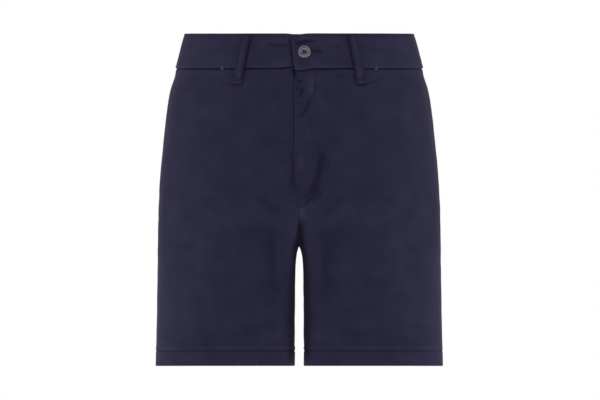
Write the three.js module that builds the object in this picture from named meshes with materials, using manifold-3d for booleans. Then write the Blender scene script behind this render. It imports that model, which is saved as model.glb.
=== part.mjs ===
import * as THREE from 'three';
import { mergeVertices } from 'three/addons/utils/BufferGeometryUtils.js';
import Module from 'manifold-3d';

const wasm = await Module();
wasm.setup();

// Sizes in millimetres. The origin is the middle of the waist ring, the front faces -Y
// and the wearer's left is +X.
const seamGap = 0.3; // between two pieces that are sewn together
const clothWall = 1.6;
const bandWall = 3; // two layers of cloth and the stiffening between them
const bandProud = 0.7; // the band's outer face stands this far out from the panels
const bandHalfHeight = 23.5;
const hemLevel = -425.2;
const hemDepth = 20;
const hemWall = 3; // the cloth turned up once inside
const hemTop = hemLevel + hemDepth;
const hemStep = 0.6; // the turned cloth's edge
const crotchLevel = -263;
const splitTop = -138; // each half starts to round into a leg here
const splitBottom = -332; // and is a whole leg from here down
const crotchSlope = 0.488; // how steeply the sections close above the crotch, going up
const crotchSwell = 0.012; // and how fast that steepens
const legGapHalf = 5.3; // half the gap between the legs, below its arch
const legGapArch = 11; // the gap reaches most of that width within this height
const legGapFlare = 0.0065; // and then widens by this much per millimetre
const torsoSquareness = 2.35; // exponents of the rounded sections: 2 is an ellipse
const legSquareness = 2.12;
const inseamSquareness = 4.1; // a leg is flatter in front and behind towards its inseam
const waistTilt = -0.018; // the front of the waist lies lower than the back
const hemTilt = 0.023; // and the front of the hem a little higher

// One row for each level: half the width, and how far the front and back stand out.
const levels = [
  { z: 24, halfWidth: 153.6, front: 108, back: 104 },
  { z: 10, halfWidth: 158, front: 111, back: 108 },
  { z: -4, halfWidth: 161.7, front: 114, back: 111.5 },
  { z: -21, halfWidth: 165.8, front: 117, back: 117 },
  { z: -33, halfWidth: 167.6, front: 118.5, back: 121 },
  { z: -53, halfWidth: 174, front: 120.5, back: 126 },
  { z: -80, halfWidth: 178.6, front: 121.5, back: 131 },
  { z: -120, halfWidth: 183.1, front: 121.5, back: 135 },
  { z: -161, halfWidth: 187.1, front: 119.5, back: 136 },
  { z: -200, halfWidth: 189.6, front: 115.5, back: 132 },
  { z: -240, halfWidth: 190.7, front: 109, back: 123 },
  { z: -300, halfWidth: 191.4, front: 101, back: 110 },
  { z: -360, halfWidth: 192.4, front: 94, back: 99 },
  { z: -426, halfWidth: 194, front: 89, back: 93 },
];

// The largest folds of one half, the same on the other. in is how far the fold's top lies
// along the cloth from the side seam, and drift how much further in its lower end is.
const folds = [
  { face: 'front', in: 214, drift: 4, top: -218, bottom: -396, width: 15, depth: -3.8 },
  { face: 'front', in: 244, drift: -5, top: -232, bottom: -334, width: 9, depth: 2.4 },
  { face: 'front', in: 138, drift: -14, top: -196, bottom: -402, width: 24, depth: 2 },
  { face: 'front', in: 52, drift: 10, top: -118, bottom: -340, width: 22, depth: -1.6 },
  { face: 'back', in: 222, drift: 5, top: -206, bottom: -398, width: 16, depth: -4.4 },
  { face: 'back', in: 252, drift: -6, top: -230, bottom: -322, width: 9, depth: 2.2 },
  { face: 'back', in: 152, drift: -16, top: -184, bottom: -404, width: 23, depth: 2.6 },
  { face: 'back', in: 84, drift: 12, top: -160, bottom: -376, width: 19, depth: -2.4 },
];

const flyLap = 6; // the left front passes the centre line by this much
const flyLapTop = -176; // the lap starts to narrow here
const flyLapEnd = -193; // and has run out here
const flyRadius = 38; // the J line's distance from the centre, and its round end
const flyTurn = -171; // the level where the J line starts to turn
const flyEase = 6; // the lifted cloth comes down within this much inside the J line
const flyRaise = clothWall + seamGap;
const shieldWidth = 29; // the fly shield lies beside the right front, under the left one
const shieldEnd = -194; // its round end stops just above this level
const bandLapTop = 11.5; // the left band's end, past the centre line
const bandLapBottom = 6;
const bandUnderlap = 26; // the right band's end, past the centre line and under the left
const bandRaise = bandWall + seamGap;
const bandRaiseEnd = 28; // the left band is lifted to here from the centre line
const bandEase = 24; // and comes down within this much
const edgeBevel = 0.5; // the bands' edges and the hems are rounded by this much
const bandEdge = 0.9; // over this much of their height

const loopWidth = 12.6;
const loopWall = 1.6;
const loopFold = 3; // both ends are folded under
const loopStandOff = 3.4; // between its ends a loop stands off this far for the belt
const loopTop = 20.5;
const loopBottom = -44.5;
const loopEnds = 7.5; // how much of the lower end lies on the panel
const loopTopEnd = 5.2; // and of the upper end on the band
const loopRise = 9; // the loop rises and comes down over this much

// Where each belt loop's middle runs, as a distance across from the centre line.
const beltLoops = [
  { name: 'belt_loop_front_left', face: 'front', top: 70.2, bottom: 82.4, side: 1 },
  { name: 'belt_loop_front_right', face: 'front', top: 70.2, bottom: 82.4, side: -1 },
  { name: 'belt_loop_side_left', face: 'back', top: 116, bottom: 124, side: 1 },
  { name: 'belt_loop_side_right', face: 'back', top: 116, bottom: 124, side: -1 },
  { name: 'belt_loop_back', face: 'back', top: 0, bottom: 0, side: 1 },
];

const buttonRadius = 8.65;
const buttonThickness = 3;
const buttonAcross = 6.75;
const buttonLevel = -2.7;
const buttonGap = 0.5; // the thread holds it this far off the cloth
const buttonHoleRadius = 1;
const buttonHoleOut = 2;

const inseamStrip = 0.25; // the strip of a panel beside the centre seam, over half the width
const stripColumns = [0.17, 0.34, 0.51, 0.68, 0.81, 1]; // these also follow the fly
const panelColumns = 12;
const bandColumns = 42;
const arcSteps = 120;
const panelRowsAbove = 18; // above the crotch
const panelRowsBelow = 8; // between the crotch and the hem's top
const normalStep = 1.2;

const clamp = (value, low, high) => Math.min(high, Math.max(low, value));
const lerp = (a, b, t) => a + (b - a) * t;

function smooth(t) {
  const u = clamp(t, 0, 1);
  return u * u * (3 - 2 * u);
}

// A smooth curve through one column of the levels table.
function sizeAt(z, column) {
  const last = levels.length - 1;
  let i = 0;
  while (i < last - 1 && levels[i + 1].z > z) i++;
  const slope = (j) => {
    const a = levels[Math.max(j - 1, 0)];
    const b = levels[Math.min(j + 1, last)];
    return (b[column] - a[column]) / (b.z - a.z);
  };
  const p = levels[i];
  const q = levels[i + 1];
  const span = q.z - p.z;
  const t = clamp((z - p.z) / span, 0, 1);
  const a = 2 * t ** 3 - 3 * t ** 2 + 1;
  const b = t ** 3 - 2 * t ** 2 + t;
  const c = t ** 3 - t ** 2;
  return p[column] * a + slope(i) * span * b + q[column] * (1 - a) + slope(i + 1) * span * c;
}

// The rounded section of one half at a level: the place of its furthest front and back, its
// reach to either side of that, its squareness outwards and inwards, and the angle at which it
// meets the centre line. Below the crotch it closes round the leg.
function sectionAt(z) {
  const halfWidth = sizeAt(z, 'halfWidth');
  const split = smooth((splitTop - z) / (splitTop - splitBottom));
  const below = crotchLevel - z;
  const inner = below < 0 ? below * (crotchSlope - crotchSwell * below)
    : legGapHalf * (1 - Math.exp(-below / legGapArch)) + legGapFlare * below;
  const middle = (split * (halfWidth + Math.max(inner, 0))) / 2;
  const outSquare = lerp(torsoSquareness, legSquareness, split);
  const inSquare = lerp(torsoSquareness, inseamSquareness, split);
  const closed = clamp(middle / Math.max(middle - inner, 1e-6), 0, 1);
  const end = below >= 0 ? Math.PI : Math.acos(-(closed ** (inSquare / 2)));
  return { middle, inward: middle - inner, outward: halfWidth - middle, outSquare, inSquare, end };
}

const arcs = new Map();

// The section's line on one face, from the centre seam to the side seam, with its length.
function arcAt(face, z) {
  const key = `${face} ${z.toFixed(4)}`;
  if (arcs.has(key)) return arcs.get(key);
  const { middle, inward, outward, outSquare, inSquare, end } = sectionAt(z);
  const out = sizeAt(z, face) * (face === 'front' ? -1 : 1);
  const points = [];
  let length = 0;
  for (let i = 0; i <= arcSteps; i++) {
    const angle = end * (1 - i / arcSteps);
    const c = Math.cos(angle);
    const s = Math.max(Math.sin(angle), 0);
    const power = 2 / (c < 0 ? inSquare : outSquare);
    const off = (c < 0 ? -inward : outward) * Math.abs(c) ** power;
    const x = i === 0 && end < Math.PI ? 0 : middle + off;
    const y = out * s ** power;
    if (i > 0) length += Math.hypot(x - points[i - 1].x, y - points[i - 1].y);
    points.push({ x, y, at: length });
  }
  const arc = { points, length };
  arcs.set(key, arc);
  return arc;
}

function foldAt(face, fromSide, z) {
  let out = 0;
  for (const fold of folds) {
    if (fold.face !== face || z > fold.top || z < fold.bottom) continue;
    const t = (fold.top - z) / (fold.top - fold.bottom);
    const off = (fromSide - fold.in - fold.drift * t) / fold.width;
    out += fold.depth * Math.exp(-off * off) * Math.sin(Math.PI * t ** 0.8) ** 1.5;
  }
  return out;
}

// A point of the cloth's outer face. across is its distance along the cloth from the centre
// seam, and a negative one lies past it on the other half.
function clothPoint(face, across, z) {
  const { points, length } = arcAt(face, z);
  const at = clamp(Math.abs(across), 0, length);
  let i = 1;
  while (i < arcSteps && points[i].at < at) i++;
  const p = points[i - 1];
  const q = points[i];
  const t = (at - p.at) / (q.at - p.at);
  const fold = foldAt(face, length - at, z);
  const facing = face === 'front' ? 1 : -1;
  const run = q.at - p.at;
  const x = lerp(p.x, q.x, t) + (facing * fold * (q.y - p.y)) / run;
  const y = lerp(p.y, q.y, t) - (facing * fold * (q.x - p.x)) / run;
  const down = clamp((bandHalfHeight - z) / (bandHalfHeight - hemLevel), 0, 1);
  const tilt = lerp(waistTilt, hemTilt, down);
  return new THREE.Vector3(across < 0 ? -x : x, y, z - y * tilt);
}

// The way out of the cloth at a point, from its neighbours along and down the cloth.
function clothNormal(face, across, z) {
  const step = normalStep;
  const { length } = arcAt(face, z);
  const low = across < 0 ? across - step : Math.max(across - step, 0);
  const high = Math.min(across + step, length);
  const top = clothPoint(face, across, Math.min(z + step, levels[0].z));
  const along = clothPoint(face, high, z).sub(clothPoint(face, low, z));
  const up = top.sub(clothPoint(face, across, Math.max(z - step, hemLevel)));
  const normal = along.cross(up).normalize();
  return face === 'front' ? normal : normal.negate();
}

function movedOut(face, across, z, out) {
  return clothPoint(face, across, z).addScaledVector(clothNormal(face, across, z), out);
}

// The place along the cloth of a point this far across from the centre line.
function acrossAt(face, x, z) {
  const { points } = arcAt(face, z);
  const i = Math.max(points.findIndex((p) => p.x >= x), 1);
  const t = (x - points[i - 1].x) / (points[i].x - points[i - 1].x);
  return lerp(points[i - 1].at, points[i].at, t);
}

// A closed wall between two grids of points that have the same rows and columns.
function wall(outer, inner, flipped) {
  const rows = outer.length;
  const columns = outer[0].length;
  const position = [];
  const index = [];
  for (const grid of [outer, inner]) {
    for (const row of grid) {
      for (const p of row) position.push(p.x, p.y, p.z);
    }
  }
  const id = (layer, r, c) => (layer * rows + r) * columns + c;
  const quad = (a, b, c, d) => {
    if (flipped) index.push(a, c, b, a, d, c);
    else index.push(a, b, c, a, c, d);
  };
  for (let r = 0; r < rows - 1; r++) {
    for (let c = 0; c < columns - 1; c++) {
      quad(id(0, r, c), id(0, r + 1, c), id(0, r + 1, c + 1), id(0, r, c + 1));
      quad(id(1, r, c), id(1, r, c + 1), id(1, r + 1, c + 1), id(1, r + 1, c));
    }
    quad(id(0, r, 0), id(1, r, 0), id(1, r + 1, 0), id(0, r + 1, 0));
    const e = columns - 1;
    quad(id(0, r, e), id(0, r + 1, e), id(1, r + 1, e), id(1, r, e));
  }
  for (let c = 0; c < columns - 1; c++) {
    quad(id(0, 0, c), id(0, 0, c + 1), id(1, 0, c + 1), id(1, 0, c));
    const e = rows - 1;
    quad(id(0, e, c), id(1, e, c), id(1, e, c + 1), id(0, e, c + 1));
  }
  const geometry = new THREE.BufferGeometry();
  geometry.setAttribute('position', new THREE.Float32BufferAttribute(position, 3));
  geometry.setIndex(index);
  geometry.computeVertexNormals();
  return geometry;
}

// The levels of the panels' rows: close together at the crotch, where the cloth turns under,
// and one step in the wall at the top of the hem.
function panelRows() {
  const rows = [];
  const top = -bandHalfHeight - seamGap;
  for (let i = 0; i <= panelRowsAbove; i++) {
    rows.push(crotchLevel + (top - crotchLevel) * (1 - i / panelRowsAbove) ** 1.55);
  }
  for (let i = 1; i <= panelRowsBelow; i++) {
    rows.push(crotchLevel + (hemTop - crotchLevel) * (i / panelRowsBelow) ** 1.45);
  }
  rows.push(hemTop - hemStep, hemLevel + edgeBevel, hemLevel);
  return rows;
}

// How far the left front stands out over the fly's other layers.
function flyLift(across, z) {
  const side = Math.max(across, 0);
  const away = z > flyTurn ? side : Math.hypot(side, flyTurn - z);
  return flyRaise * smooth((flyRadius - away) / flyEase);
}

function flyEdge(z) {
  return lerp(seamGap / 2, -flyLap, smooth((z - flyLapEnd) / (flyLapTop - flyLapEnd)));
}

// How far a panel's two faces lie from the cloth's outer face at a level.
function panelFaces(z) {
  const wallHere = z < hemTop ? hemWall : clothWall;
  const bevel = z === hemLevel ? edgeBevel : 0;
  return { outer: -bevel, inner: bevel - wallHere };
}

// Where a panel's columns lie along the cloth: some in the strip beside the centre seam or
// inseam, and the rest evenly between that strip and the side seam.
function panelAcross(face, z, start) {
  const strip = acrossAt(face, inseamStrip * sizeAt(z, 'halfWidth'), z);
  const end = arcAt(face, z).length - seamGap / 2;
  const columns = [start, ...stripColumns.map((share) => share * strip)];
  for (let i = 1; i <= panelColumns; i++) columns.push(lerp(strip, end, i / panelColumns));
  return columns;
}

function panelGeometry(face, side, lapped) {
  const outer = [];
  const inner = [];
  for (const z of panelRows()) {
    const columns = panelAcross(face, z, lapped ? flyEdge(z) : seamGap / 2);
    const faces = panelFaces(z);
    const point = (across, out) => {
      const lift = lapped ? flyLift(across, z) : 0;
      const p = movedOut(face, across, z, out + lift);
      return p.setX(p.x * side);
    };
    outer.push(columns.map((across) => point(across, faces.outer)));
    inner.push(columns.map((across) => point(across, faces.inner)));
  }
  return wall(outer, inner, (face === 'front') !== (side > 0));
}

function shieldGeometry() {
  const outer = [];
  const inner = [];
  for (const z of panelRows().filter((level) => level > shieldEnd)) {
    const down = Math.max(flyTurn - z, 0);
    const width = Math.sqrt(shieldWidth ** 2 - down ** 2);
    const columns = [0, 1, 2, 3].map((i) => lerp(seamGap / 2, width, i / 3));
    outer.push(columns.map((across) => movedOut('front', across, z, 0)));
    inner.push(columns.map((across) => movedOut('front', across, z, -clothWall)));
  }
  return wall(outer, inner, false);
}

// A point of the band, by its distance round from the centre back.
function bandPoint(round, z, out, side) {
  const back = arcAt('back', z).length;
  const front = arcAt('front', z).length;
  const p = round < back ? movedOut('back', round, z, out)
    : movedOut('front', back + front - round, z, out);
  return p.setX(p.x * side);
}

function bandGeometry(side, lapped) {
  const outer = [];
  const inner = [];
  const full = bandHalfHeight;
  for (const z of [full, full - bandEdge, full / 3, -full / 3, bandEdge - full, -full]) {
    const bevel = Math.abs(z) === full ? edgeBevel : 0;
    const centre = arcAt('back', z).length + arcAt('front', z).length;
    const lap = lapped ? lerp(bandLapBottom, bandLapTop, (z / full + 1) / 2) : bandUnderlap;
    const columns = [];
    for (let i = 0; i <= bandColumns; i++) {
      columns.push(lerp(seamGap / 2, centre + lap, i / bandColumns));
    }
    const lift = (round) => {
      if (!lapped) return 0;
      return bandRaise * smooth((round - centre + bandRaiseEnd + bandEase) / bandEase);
    };
    const out = bandProud - bevel;
    const back = bandProud - bandWall + bevel;
    outer.push(columns.map((round) => bandPoint(round, z, out + lift(round), side)));
    inner.push(columns.map((round) => bandPoint(round, z, back + lift(round), side)));
  }
  return wall(outer, inner, side > 0);
}

// A belt loop stands off the band between its two folded ends.
function loopRows() {
  const rows = [{ z: loopBottom, rise: 0 }];
  const low = loopBottom + loopEnds;
  const high = loopTop - loopTopEnd;
  for (const rise of [0, 0.35, 0.75, 1]) rows.push({ z: low + loopRise * rise ** 0.8, rise });
  for (const part of [1 / 3, 2 / 3]) rows.push({ z: lerp(low + loopRise, high - loopRise, part), rise: 1 });
  for (const rise of [1, 0.75, 0.35, 0]) rows.push({ z: high - loopRise * rise ** 0.8, rise });
  rows.push({ z: loopTop, rise: 0 });
  return rows;
}

function loopGeometry({ face, top, bottom, side }) {
  const outer = [];
  const inner = [];
  for (const { z, rise } of loopRows()) {
    const middle = lerp(bottom, top, (z - loopBottom) / (loopTop - loopBottom));
    const under = z > -bandHalfHeight - bandProud ? bandProud : 0;
    const low = under + seamGap + loopStandOff * rise;
    const high = low + lerp(loopFold, loopWall, rise);
    const edges = [-1, -1 / 3, 1 / 3, 1].map((part) => middle + (part * loopWidth) / 2);
    const point = (x, out) => {
      const across = Math.sign(x) * acrossAt(face, Math.abs(x), z);
      const p = movedOut(face, across, z, out);
      return p.setX(p.x * side);
    };
    outer.push(edges.map((x) => point(x, high)));
    inner.push(edges.map((x) => point(x, low)));
  }
  return wall(outer.reverse(), inner.reverse(), (face === 'front') !== (side > 0));
}

function solidOf(geometry) {
  const bare = geometry.clone();
  bare.deleteAttribute('normal');
  bare.deleteAttribute('uv');
  const merged = mergeVertices(bare, 1e-4);
  return new wasm.Manifold(new wasm.Mesh({
    numProp: 3,
    vertProperties: new Float32Array(merged.attributes.position.array),
    triVerts: new Uint32Array(merged.index.array),
  }));
}

function geometryOf(solid) {
  const { vertProperties, triVerts } = solid.getMesh();
  const geometry = new THREE.BufferGeometry();
  geometry.setAttribute('position', new THREE.BufferAttribute(new Float32Array(vertProperties), 3));
  geometry.setIndex(new THREE.BufferAttribute(new Uint32Array(triVerts), 1));
  geometry.computeVertexNormals();
  return geometry;
}

// A dished button with a raised rim and four holes, its back at height 0.
function buttonGeometry() {
  const profile = [
    [0, 0], [buttonRadius - 1.2, 0], [buttonRadius - 0.25, 0.7], [buttonRadius, 1.5],
    [buttonRadius - 0.4, 2.5], [buttonRadius - 1.3, buttonThickness],
    [buttonRadius - 2.2, buttonThickness - 0.2], [buttonRadius - 3.1, 2.1], [0, 1.8],
  ].map(([r, h]) => new THREE.Vector2(r, h));
  let solid = solidOf(new THREE.LatheGeometry(profile, 32));
  for (const [dx, dy] of [[1, 1], [1, -1], [-1, 1], [-1, -1]]) {
    const hole = new THREE.CylinderGeometry(buttonHoleRadius, buttonHoleRadius, 4 * buttonThickness, 10);
    hole.translate(dx * buttonHoleOut, 0, dy * buttonHoleOut);
    solid = solid.subtract(solidOf(hole));
  }
  return geometryOf(solid);
}

const twill = () => new THREE.MeshStandardMaterial({ color: 0x2b293f, roughness: 0.9, metalness: 0 });
const resin = () => new THREE.MeshStandardMaterial({ color: 0x6a6878, roughness: 0.35, metalness: 0 });

function piece(name, geometry, material) {
  const mesh = new THREE.Mesh(geometry, material);
  mesh.name = name;
  return mesh;
}

function buttonPiece() {
  const mesh = piece('button', buttonGeometry(), resin());
  const out = bandProud + bandRaise + buttonGap;
  const normal = clothNormal('front', buttonAcross, buttonLevel);
  mesh.position.copy(movedOut('front', buttonAcross, buttonLevel, out));
  mesh.quaternion.setFromUnitVectors(new THREE.Vector3(0, 1, 0), normal);
  return mesh;
}

const shorts = new THREE.Group();
for (const [hand, side] of [['left', 1], ['right', -1]]) {
  const lapped = side > 0;
  shorts.add(piece(`front_panel_${hand}`, panelGeometry('front', side, lapped), twill()));
  shorts.add(piece(`back_panel_${hand}`, panelGeometry('back', side, false), twill()));
  shorts.add(piece(`waistband_${hand}`, bandGeometry(side, lapped), twill()));
}
shorts.add(piece('fly_shield', shieldGeometry(), twill()));
for (const loop of beltLoops) shorts.add(piece(loop.name, loopGeometry(loop), twill()));
shorts.add(buttonPiece());

export default shorts;
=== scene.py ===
# Bermuda shorts in navy cotton twill, filled out as if worn and seen from the front.
# Cloth sizes are in millimetres and turned to metres when a mesh is made.
import math

import bpy
import numpy as np
from mathutils import Matrix, Vector


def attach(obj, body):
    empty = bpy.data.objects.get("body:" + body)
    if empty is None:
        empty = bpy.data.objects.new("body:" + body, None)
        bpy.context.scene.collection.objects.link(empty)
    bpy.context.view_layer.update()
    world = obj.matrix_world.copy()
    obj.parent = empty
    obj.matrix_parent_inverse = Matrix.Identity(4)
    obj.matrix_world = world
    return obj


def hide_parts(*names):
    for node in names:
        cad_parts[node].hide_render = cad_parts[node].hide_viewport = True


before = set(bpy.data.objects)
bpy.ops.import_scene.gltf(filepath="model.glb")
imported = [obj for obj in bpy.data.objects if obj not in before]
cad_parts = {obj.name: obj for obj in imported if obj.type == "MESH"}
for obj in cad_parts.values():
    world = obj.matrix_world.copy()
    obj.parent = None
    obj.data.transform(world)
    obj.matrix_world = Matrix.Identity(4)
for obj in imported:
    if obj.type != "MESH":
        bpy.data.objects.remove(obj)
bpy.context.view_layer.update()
mm = 0.001
seed = np.random.default_rng(11)
print("frame loaded,", len(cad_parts), "nodes")

# The garment's form. The origin is the middle of the waist ring, the front faces -Y and the
# wearer's left is +X.
form = {
    "bandHalf": 23.5,
    "hem": -425.2,
    "hemTop": -405.2,
    "crotch": -263.0,
    "splitTop": -138.0,  # each half starts to round into a leg here
    "splitBottom": -332.0,
    "crotchSlope": 0.488,
    "crotchSwell": 0.012,
    "gapHalf": 5.3,  # half the gap between the legs
    "gapArch": 11.0,
    "gapFlare": 0.0065,
    "torsoSquare": 2.35,
    "legSquare": 2.12,
    "inseamSquare": 5.4,  # a leg is flatter in front and behind towards its inseam
    "waistTilt": -0.018,
    "hemTilt": 0.023,
    "arcSteps": 480,
    "seamGap": 0.3,
}

# level, half the width, how far the front stands out, how far the back does
levels = np.array([
    (24, 153.6, 108, 104),
    (10, 158, 111, 108),
    (-4, 161.7, 114, 111.5),
    (-21, 165.8, 117, 117),
    (-33, 167.6, 118.5, 121),
    (-53, 174, 120.5, 126),
    (-80, 178.6, 121.5, 131),
    (-120, 183.1, 121.5, 135),
    (-161, 187.1, 119.5, 136),
    (-200, 189.6, 115.5, 132),
    (-240, 190.7, 109, 123),
    (-300, 191.4, 101, 110),
    (-360, 192.4, 94, 99),
    (-426, 194, 89, 93),
])

# The largest folds of one half: distance in from the side seam, drift, top, bottom, width, depth
folds = {
    "front": [
        (214, 4, -218, -396, 15, -3.8),
        (244, -5, -232, -334, 9, 2.4),
        (138, -14, -196, -402, 24, 2.0),
        (52, 10, -118, -340, 22, -1.6),
    ],
    "back": [
        (222, 5, -206, -398, 16, -4.4),
        (252, -6, -230, -322, 9, 2.2),
        (152, -16, -184, -404, 23, 2.6),
        (84, 12, -160, -376, 19, -2.4),
    ],
}


def smooth(t):
    u = np.clip(t, 0, 1)
    return u * u * (3 - 2 * u)


def hump(distance, width):
    return np.exp(-((distance / width) ** 2))


def sizeAt(z, column):
    zs, v = levels[:, 0], levels[:, column]
    slope = (np.r_[v[1:], v[-1]] - np.r_[v[0], v[:-1]]) / (
        np.r_[zs[1:], zs[-1]] - np.r_[zs[0], zs[:-1]]
    )
    i = np.clip(np.searchsorted(-zs, -z, side="left") - 1, 0, len(zs) - 2)
    span = zs[i + 1] - zs[i]
    t = np.clip((z - zs[i]) / span, 0, 1)
    a = 2 * t**3 - 3 * t**2 + 1
    b = t**3 - 2 * t**2 + t
    c = t**3 - t**2
    return v[i] * a + slope[i] * span * b + v[i + 1] * (1 - a) + slope[i + 1] * span * c


# The section's line on one face at each level, from the centre seam to the side seam.
def arcsAt(face, z):
    f = form
    halfWidth = sizeAt(z, 1)
    split = smooth((f["splitTop"] - z) / (f["splitTop"] - f["splitBottom"]))
    below = f["crotch"] - z
    inner = np.where(
        below < 0,
        below * (f["crotchSlope"] - f["crotchSwell"] * below),
        f["gapHalf"] * (1 - np.exp(-np.maximum(below, 0) / f["gapArch"])) + f["gapFlare"] * below,
    )
    middle = split * (halfWidth + np.maximum(inner, 0)) / 2
    outSquare = f["torsoSquare"] + (f["legSquare"] - f["torsoSquare"]) * split
    inSquare = f["torsoSquare"] + (f["inseamSquare"] - f["torsoSquare"]) * split
    closed = np.clip(middle / np.maximum(middle - inner, 1e-6), 0, 1)
    end = np.where(below >= 0, np.pi, np.arccos(-(closed ** (inSquare / 2))))
    angle = end[:, None] * np.linspace(1, 0, f["arcSteps"] + 1)
    c, s = np.cos(angle), np.maximum(np.sin(angle), 0)
    power = np.where(c < 0, (2 / inSquare)[:, None], (2 / outSquare)[:, None])
    reach = np.where(c < 0, -(middle - inner)[:, None], (halfWidth - middle)[:, None])
    x = middle[:, None] + reach * np.abs(c) ** power
    x[:, 0] = np.where(end < np.pi, 0, x[:, 0])
    out = sizeAt(z, 2 if face == "front" else 3) * (-1 if face == "front" else 1)
    y = out[:, None] * s**power
    at = np.hypot(np.diff(x, axis=1), np.diff(y, axis=1)).cumsum(axis=1)
    at = np.concatenate([np.zeros((len(z), 1)), at], axis=1)
    return x, y, at


def foldAt(face, fromSide, z):
    out = np.zeros_like(fromSide)
    for inward, drift, top, bottom, width, depth in folds[face]:
        t = np.clip((top - z) / (top - bottom), 0, 1)
        out += depth * hump(fromSide - inward - drift * t, width) * np.sin(np.pi * t**0.8) ** 1.5
    return out


# Points of the cloth for across (rows, columns) and z (rows). A negative across lies past
# the centre line on the other half. Also gives each point's distance from the side seam.
def clothGrid(face, across, z):
    x, y, at = arcsAt(face, z)
    points = np.zeros(across.shape + (3,))
    fromSide = np.zeros(across.shape)
    facing = 1 if face == "front" else -1
    for r in range(len(z)):
        place = np.clip(np.abs(across[r]), 0, at[r, -1])
        run = np.gradient(at[r])
        px, py = np.interp(place, at[r], x[r]), np.interp(place, at[r], y[r])
        tx = np.interp(place, at[r], np.gradient(x[r]) / run)
        ty = np.interp(place, at[r], np.gradient(y[r]) / run)
        fromSide[r] = at[r, -1] - place
        fold = foldAt(face, fromSide[r], z[r])
        px, py = px + facing * fold * ty, py - facing * fold * tx
        points[r, :, 0] = np.where(across[r] < 0, -px, px)
        points[r, :, 1] = py
    down = np.clip((form["bandHalf"] - z) / (form["bandHalf"] - form["hem"]), 0, 1)
    tilt = form["waistTilt"] + (form["hemTilt"] - form["waistTilt"]) * down
    points[:, :, 2] = z[:, None] - points[:, :, 1] * tilt[:, None]
    return points, fromSide


def gridNormals(points, flip):
    along = np.gradient(points, axis=1)
    up = -np.gradient(points, axis=0)
    n = np.cross(along, up)
    n /= np.maximum(np.linalg.norm(n, axis=2, keepdims=True), 1e-9)
    return -n if flip else n


# The way out of a panel, from its neighbours along the cloth, and from those above and below
# at the same distance from the side seam.
def panelNormals(face, across, z, step=1.0):
    length = arcsAt(face, z)[2][:, -1:]
    low = np.where(across < 0, across - step, np.maximum(across - step, 0))
    along = clothGrid(face, np.minimum(across + step, length), z)[0] - clothGrid(face, low, z)[0]
    ends = []
    for level in (np.minimum(z + step, levels[0, 0]), np.maximum(z - step, form["hem"])):
        place = np.maximum(arcsAt(face, level)[2][:, -1:] - (length - np.abs(across)), 0)
        ends.append(clothGrid(face, np.where(across < 0, -place, place), level)[0])
    n = np.cross(along, ends[0] - ends[1])
    n /= np.maximum(np.linalg.norm(n, axis=2, keepdims=True), 1e-9)
    return n if face == "front" else -n


def acrossAt(face, x, z):
    xs, _, at = arcsAt(face, z)
    return np.array([np.interp(x[r], xs[r], at[r]) for r in range(len(z))])


# Soft troughs and ridges along short curved lines, each fading at both ends. A row is
# start u, start v, end u, end v, bend, width, depth, and a lip's height on its left side.
def creaseField(u, v, table):
    out = np.zeros(np.broadcast(u, v).shape)
    for u0, v0, u1, v1, bend, width, depth, lip in table:
        du, dv = u1 - u0, v1 - v0
        size = math.hypot(du, dv)
        t = ((u - u0) * du + (v - v0) * dv) / size**2
        off = ((v - v0) * du - (u - u0) * dv) / size - bend * 4 * t * (1 - t)
        fade = smooth(t / 0.35 + 0.15) * smooth((1 - t) / 0.35 + 0.15) * (np.abs(t - 0.5) < 0.8)
        fade = np.where((t < -0.12) | (t > 1.12), 0, fade)
        out += fade * (depth * hump(off, width) + lip * hump(off - 1.9 * width, 1.3 * width))
    return out


# An even, unhurried unevenness of the cloth, from a few plane waves.
def softWaves(u, v, lengths, height, count):
    out = np.zeros(np.broadcast(u, v).shape)
    for _ in range(count):
        length = seed.uniform(*lengths)
        turn, phase = seed.uniform(0, np.pi), seed.uniform(0, 2 * np.pi)
        out += np.sin(2 * np.pi * (u * math.cos(turn) + v * math.sin(turn)) / length + phase)
    return out * height / math.sqrt(count)


def meshFrom(name, points, faces, smoothAngle=50):
    mesh = bpy.data.meshes.new(name)
    mesh.from_pydata(points, [], faces)
    mesh.update()
    mesh.polygons.foreach_set("use_smooth", [True] * len(mesh.polygons))
    mesh.set_sharp_from_angle(angle=math.radians(smoothAngle))
    piece = bpy.data.objects.new(name, mesh)
    bpy.context.scene.collection.objects.link(piece)
    return piece


# A closed thin shell between two grids, with where it lies on the cloth and its wear and painted light and
# shade.
def shellMesh(name, sheet):
    outer, inner = sheet["outer"], sheet["inner"]
    rows, columns = outer.shape[:2]
    ids = np.arange(rows * columns).reshape(rows, columns)
    a, b, c, d = ids[:-1, :-1], ids[1:, :-1], ids[1:, 1:], ids[:-1, 1:]
    front = np.stack([a, b, c, d], -1).reshape(-1, 4)
    back = front[:, ::-1] + rows * columns
    rim = np.concatenate([ids[:, 0], ids[-1, 1:], ids[-2::-1, -1], ids[0, -2:0:-1]])
    nextRim = np.roll(rim, -1)
    sides = np.stack([rim, rim + rows * columns, nextRim + rows * columns, nextRim], -1)
    faces = np.concatenate([front, back, sides])
    points = np.concatenate([outer.reshape(-1, 3), inner.reshape(-1, 3)])
    p = points[faces]
    volume = np.einsum("ij,ij->i", p[:, 0], np.cross(p[:, 1], p[:, 2])).sum()
    volume += np.einsum("ij,ij->i", p[:, 0], np.cross(p[:, 2], p[:, 3])).sum()
    if volume < 0:
        faces = faces[:, ::-1]
    piece = meshFrom(name, (points * mm).tolist(), faces.tolist())
    place = np.zeros((2 * rows * columns, 3))
    place[:, :2] = np.concatenate([sheet["cloth"].reshape(-1, 2)] * 2) * mm
    layer = piece.data.attributes.new("clothPlace", "FLOAT_VECTOR", "POINT")
    layer.data.foreach_set("vector", place.ravel())
    layer = piece.data.attributes.new("clothWearAndPaintedLight", "FLOAT", "POINT")
    layer.data.foreach_set("value", np.tile(sheet["wearAndPaintedLight"].ravel(), 2))
    return piece
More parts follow.
